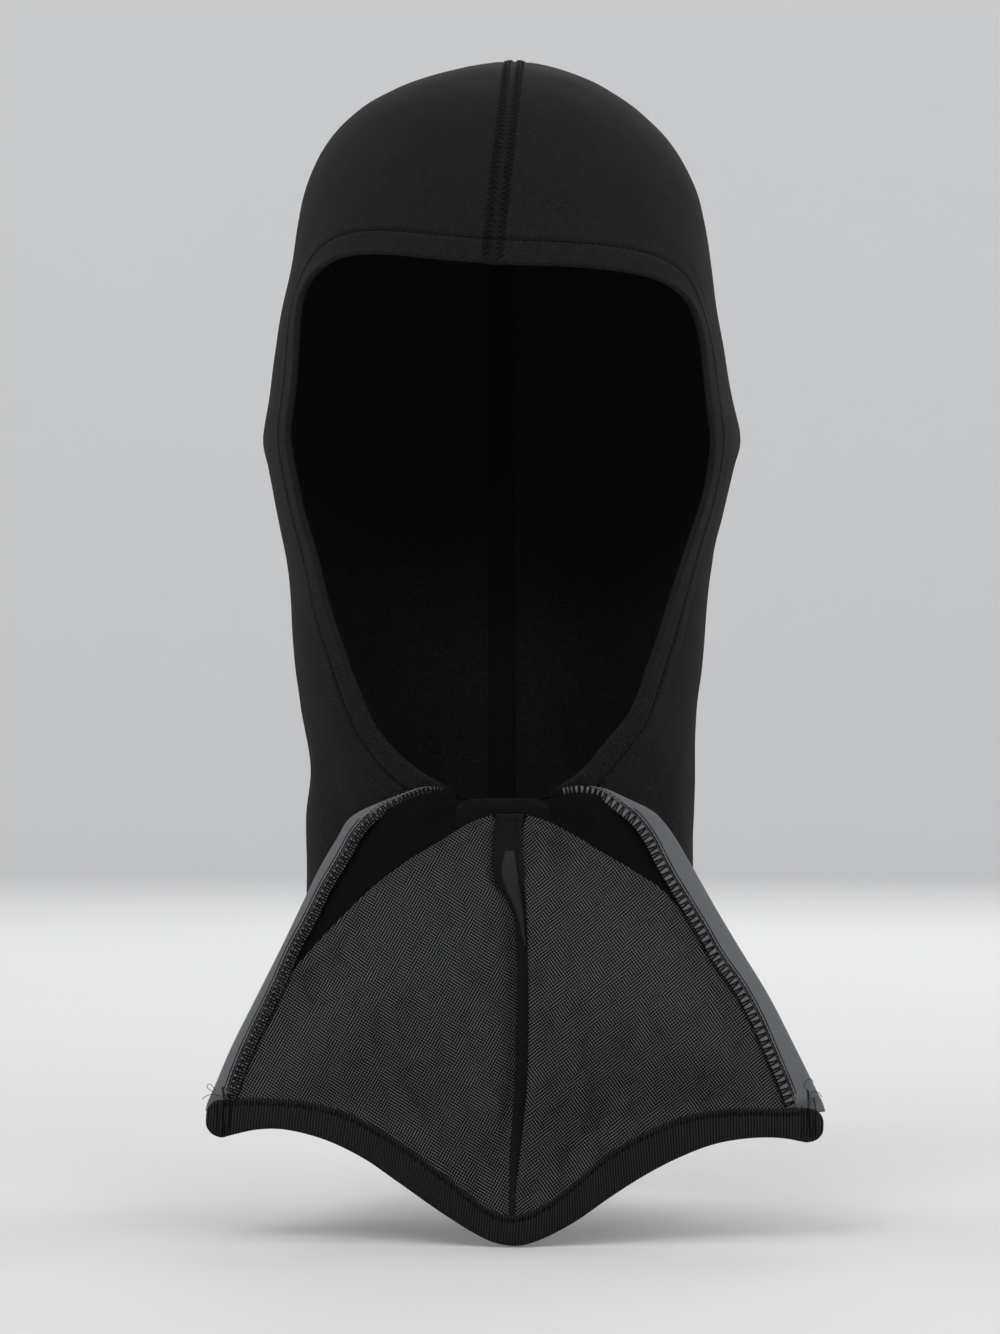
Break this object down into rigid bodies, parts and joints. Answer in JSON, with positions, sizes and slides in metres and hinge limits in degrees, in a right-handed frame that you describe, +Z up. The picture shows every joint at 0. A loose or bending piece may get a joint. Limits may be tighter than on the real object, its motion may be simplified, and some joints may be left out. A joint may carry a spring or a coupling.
{
  "type": "balaclava",
  "caption": "Close-fitting knitted hood with an open face and a lined face mask sewn on under the chin, which folds down in front of the neck or up over nose and mouth.",
  "frame": {"origin": "centre of the wearer's head at ear level", "axes": "+Z up to the crown, the face looks along -Y, +X to the right as seen from the front"},
  "size_m": [0.2207, 0.2065, 0.4267],
  "materials": {
    "black_jersey": "fine matt stretch jersey, black",
    "elastic": "flat woven elastic, black",
    "black_thread": "polyester sewing thread, black, slight gloss",
    "seam_tape": "woven seam tape, black",
    "label_white": "blank satin label, off-white",
    "black_rib": "rib knit, black",
    "grey_shell": "softshell knit, light grey, matt",
    "yoke_fabric": "brushed jersey, deep black",
    "mesh_lining": "open warp-knit mesh, dark grey"
  },
  "bodies": {
    "hood": {"hood_left_panel": "black_jersey", "hood_right_panel": "black_jersey", "face_hem_elastic": "elastic", "face_hem_left": "black_jersey", "face_hem_right": "black_jersey", "face_hem_stitching": "black_thread", "crown_seam_tape": "seam_tape", "front_seam_tape": "seam_tape", "crown_seam_stitching": "black_thread", "neck_hem": "black_jersey", "neck_hem_stitching": "black_thread", "care_label": "label_white", "mask_joining_band": "black_rib"},
    "mask": {"mask_shell_left": "grey_shell", "mask_shell_right": "grey_shell", "mask_yoke_left": "yoke_fabric", "mask_yoke_right": "yoke_fabric", "mask_lining_left": "mesh_lining", "mask_lining_right": "mesh_lining", "mask_centre_tape": "seam_tape", "mask_side_binding_left": "grey_shell", "mask_side_binding_right": "grey_shell", "overlock_stitching_left": "black_thread", "overlock_stitching_right": "black_thread", "rim_band": "black_rib", "rim_elastic": "elastic", "rim_bartack_left": "black_rib", "rim_bartack_right": "black_rib", "rim_band_stitching": "black_thread"}
  },
  "joints": [
    {"name": "mask_raise", "type": "hinge", "parent": "hood", "child": "mask", "pos_m": [0, -0.0715, -0.126], "axis": [-1, 0, 0], "range_deg": [0, 150]}
  ]
}
